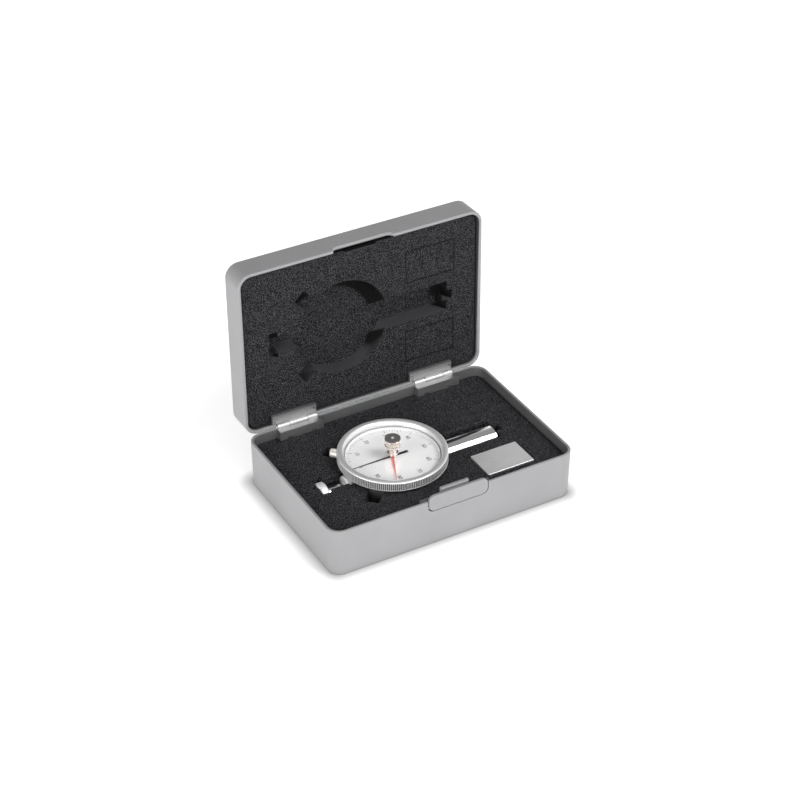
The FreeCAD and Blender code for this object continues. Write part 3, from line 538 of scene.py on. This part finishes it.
def knurled_knob():
    """The reset knob: a knurled head over a plain skirt on a thin neck."""
    low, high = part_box("reset_knob")
    outer, bottom, top = (high.x - low.x) / 2 / MM, low.z / MM, high.z / MM
    skirt, groove = bottom + 1.4, bottom + 3.2
    profile = [
        (SPINDLE_BORE, bottom, 0), (NECK_RADIUS, bottom, 0), (NECK_RADIUS, skirt, 0), (outer - 0.3, skirt, 0),
        (outer, skirt + 0.3, 0), (outer, groove - 0.2, 0), (outer - 0.4, groove, 0),
        (outer - 0.4, groove + 0.4, 0), (outer, groove + 0.6, 1), (outer, top - 0.4, 1),
        (outer - 0.05, top - 0.2, 0), (outer - 0.25, top, 0), (SPINDLE_BORE, top, 0)]
    mesh = turned_ring("knurled_knob", profile, KNOB_TEETH, KNOB_CUT, DIAL_PLACE)
    add_object("knurled_knob", mesh, "nickel", "drag_hand", ("reset_knob",))


def knurled_clamp():
    """The clamp screw's knob, on an axis that points at the dial's."""
    centre = middle("clamp_screw")
    origin = Vector((DIAL_X, DIAL_Y, centre.z))
    axis = (centre - origin).normalized()
    corners = [nodes["clamp_screw"].matrix_world @ v.co for v in nodes["clamp_screw"].data.vertices]
    reach = [(corner - origin).dot(axis) / MM for corner in corners]
    start, end = min(reach), max(reach)
    low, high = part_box("clamp_screw")
    outer, shoulder = (high.z - low.z) / 2 / MM, end - CLAMP_HEAD
    profile = [
        (CORE, start, 0), (STEM_RADIUS, start, 0), (STEM_RADIUS, shoulder, 0), (outer - 0.4, shoulder, 0),
        (outer, shoulder + 0.4, 0), (outer, shoulder + 0.6, 1), (outer, end - 0.8, 1), (outer, end - 0.6, 0),
        (outer - 0.25, end - 0.15, 0), (outer - 0.6, end, 0), (CORE, end, 0)]
    place = Matrix.Translation(origin) @ axis.to_track_quat("Z", "Y").to_matrix().to_4x4()
    mesh = turned_ring("knurled_clamp", profile, CLAMP_TEETH, KNOB_CUT, place)
    add_object("knurled_clamp", mesh, "nickel", "clamp_screw", ("clamp_screw",), pale_nickel)


def soften(names):
    """Slightly rounded edges on CAD pieces."""
    for name in names:
        weld = nodes[name].modifiers.new("weld", "WELD")
        weld.merge_threshold = WELD_REACH
        bevel = nodes[name].modifiers.new("bevel", "BEVEL")
        bevel.width, bevel.segments = EDGE_ROUND * MM, 2
        bevel.limit_method, bevel.angle_limit = "ANGLE", ROUNDED_ANGLE


soften(["latch", "check_block", "presser_foot", "neck_collar"])
knurled_knob()
knurled_clamp()
knurled_bezel()

# ---- dial printing -----------------------------------------------------------------------------
INK_THICKNESS = 0.02 * MM
TICKS, TICK_OUTER = 100, 25.2
TICK_STYLES = [(10, 22.4, 0.26), (5, 23.0, 0.18), (1, 23.6, 0.15)]   # at every so many, inner radius, width
FIGURES, FIGURE_RADIUS, FIGURE_SIZE = 10, 19.6 * MM, 3.3 * MM


def dial_graduations():
    """A hundred printed lines, longer at each five and each ten."""
    points, faces = [], []
    for tick in range(TICKS):
        angle = math.pi - 2 * math.pi * tick / TICKS
        inner, width = next(style for every, *style in TICK_STYLES if tick % every == 0)
        along = Vector((math.cos(angle), math.sin(angle), 0))
        across = Vector((-along.y, along.x, 0)) * width / 2 * MM
        first = len(points)
        for z in (DIAL_TOP, DIAL_TOP + INK_THICKNESS):
            for radius, side in ((inner, -1), (TICK_OUTER, -1), (TICK_OUTER, 1), (inner, 1)):
                points.append(Vector((DIAL_X, DIAL_Y, z)) + along * radius * MM + across * side)
        faces += [[first + i for i in quad] for quad in
                  ((0, 3, 2, 1), (4, 5, 6, 7), (0, 1, 5, 4), (1, 2, 6, 5), (2, 3, 7, 6), (3, 0, 4, 7))]
    add_object("dial_graduations", new_mesh("dial_graduations", points, faces), "black_lacquer", "bezel")


def dial_figures():
    """The scale's figures, upright when the handle tube points up."""
    build = bmesh.new()
    for step in range(FIGURES):
        curve = bpy.data.curves.new("figure", "FONT")
        curve.body = str(step * TICKS // FIGURES)
        curve.size = FIGURE_SIZE
        curve.extrude = INK_THICKNESS / 2
        curve.align_x, curve.align_y = "CENTER", "CENTER"
        text = bpy.data.objects.new("figure", curve)
        bpy.context.scene.collection.objects.link(text)
        ready = text.evaluated_get(bpy.context.evaluated_depsgraph_get())
        mesh = bpy.data.meshes.new_from_object(ready)
        angle = math.pi - 2 * math.pi * step / FIGURES
        out = Vector((math.cos(angle), math.sin(angle), 0))
        place = Vector((DIAL_X, DIAL_Y, DIAL_TOP + INK_THICKNESS / 2)) + out * FIGURE_RADIUS
        mesh.transform(Matrix.Translation(place) @ Matrix.Rotation(-math.pi / 2, 4, "Z"))
        build.from_mesh(mesh)
        bpy.data.objects.remove(text)
        bpy.data.meshes.remove(mesh)
    mesh = bpy.data.meshes.new("dial_figures")
    build.to_mesh(mesh)
    build.free()
    add_object("dial_figures", mesh, "black_lacquer", "bezel")


dial_graduations()
dial_figures()

# ---- floor, lamps and sky ----------------------------------------------------------------------
FLOOR_GLOW, FLOOR_WHITE, FLOOR_HALF = 0.4, 0.82, 4.0
FOOTPRINT = (70.0, 45.5)                   # half width and half depth of the floor's painted contact shadow at full strength
PAINTED_SHADOW_REACH, PAINTED_SHADOW_LEAST = 12.5, 0.15      # how far the painted shadow fades out, and the light left in it
# the sky's strength overhead and at the horizon, and the height, of 1 overhead, up to which it changes
SKY_TOP, SKY_EDGE, SKY_RISE = 0.3, 1.5, 0.8
GLOW, GLOW_REACH, GLOW_GAP = 0.4, 1.5, 0.0005   # the glowing strips' radiance, outer edge, and space left
# place, aim, width, height and radiance of each soft box
SOFTBOXES = {"softbox_key": ((0.47, -0.55, 0.9), (0, 0, 0.02), 0.5, 0.5, 9.0),
             "softbox_front": ((-0.3, -0.95, 0.35), (0, 0, 0.04), 0.8, 0.5, 4.5),
             "softbox_left": ((-1.0, -0.25, 0.35), (0, 0, 0.04), 0.6, 0.5, 5.6)}


def make_floor():
    """White paper, with a painted contact shadow in its colour and glow where the box stands on it."""
    paint = Paint("floor_paper", grey(FLOOR_WHITE), 0.9, Specular_IOR_Level=0.0, Emission_Color=(1, 1, 1, 1))
    parts = paint.parts(paint.place)
    past = [paint.math("MAXIMUM", paint.past(parts[axis], -half, half))
            for axis, half in zip("XY", FOOTPRINT)]
    # painted contact shadow: darker colour and weaker glow near the box's footprint
    clear = paint.spread(paint.length(*past), 0.0, PAINTED_SHADOW_REACH * MM, PAINTED_SHADOW_LEAST, 1.0)
    paint.tint(clear, (0, 0, 0), grey(FLOOR_WHITE))
    paint.join(paint.math("MULTIPLY", clear, FLOOR_GLOW), paint.shader.inputs["Emission Strength"])
    mesh = bpy.data.meshes.new("floor")
    corners = [(FLOOR_HALF * x, FLOOR_HALF * y, 0) for x, y in ((-1, -1), (1, -1), (1, 1), (-1, 1))]
    mesh.from_pydata(corners, [], [(0, 1, 2, 3)])
    mesh.materials.append(paint.material)
    floor = bpy.data.objects.new("floor", mesh)
    bpy.context.scene.collection.objects.link(floor)


def soft_lamp(name, place, aim, width, height, radiance):
    """A rectangular lamp that the camera doesn't see."""
    data = bpy.data.lights.new(name, "AREA")
    data.shape = "RECTANGLE"
    data.size, data.size_y = width, height
    data.energy = radiance * math.pi * width * height
    lamp = bpy.data.objects.new(name, data)
    bpy.context.scene.collection.objects.link(lamp)
    lamp.location = place
    direction = Vector(aim) - Vector(place)
    lamp.rotation_mode = "QUATERNION"
    lamp.rotation_quaternion = direction.to_track_quat("-Z", "Y")
    lamp.visible_camera = False


def make_sky():
    """A soft white tent, brighter towards the horizon."""
    world = bpy.data.worlds.new("studio")
    world.use_nodes = True
    tree = world.node_tree
    place = tree.nodes.new("ShaderNodeTexCoord")
    split = tree.nodes.new("ShaderNodeSeparateXYZ")
    level = tree.nodes.new("ShaderNodeMapRange")
    level.interpolation_type = "SMOOTHSTEP"
    level.inputs["From Min"].default_value = 0.0
    level.inputs["From Max"].default_value = SKY_RISE
    level.inputs["To Min"].default_value = SKY_EDGE
    level.inputs["To Max"].default_value = SKY_TOP
    tree.links.new(place.outputs["Generated"], split.inputs[0])
    tree.links.new(split.outputs["Z"], level.inputs["Value"])
    tree.links.new(level.outputs["Result"], tree.nodes["Background"].inputs["Strength"])
    tree.nodes["Background"].inputs["Color"].default_value = (1, 1, 1, 1)
    bpy.context.scene.world = world


def make_light():
    """Four strips that glow up from the floor round the object, and the soft boxes."""
    x, y = cad_bounds[1].x + GLOW_GAP, -cad_bounds[0].y + GLOW_GAP
    for name, cx, cy, w, h in (("glow_front", 0, -(y + GLOW_REACH) / 2, 2 * GLOW_REACH, GLOW_REACH - y),
                               ("glow_back", 0, (y + GLOW_REACH) / 2, 2 * GLOW_REACH, GLOW_REACH - y),
                               ("glow_left", -(x + GLOW_REACH) / 2, 0, GLOW_REACH - x, 2 * y),
                               ("glow_right", (x + GLOW_REACH) / 2, 0, GLOW_REACH - x, 2 * y)):
        soft_lamp(name, (cx, cy, GLOW_GAP), (cx, cy, 1), w, h, GLOW)
    for name, (place, aim, width, height, radiance) in SOFTBOXES.items():
        soft_lamp(name, place, aim, width, height, radiance)
    view = bpy.context.scene.view_settings
    view.view_transform = "Standard"
    view.look = "None"


make_floor()
make_sky()
make_light()
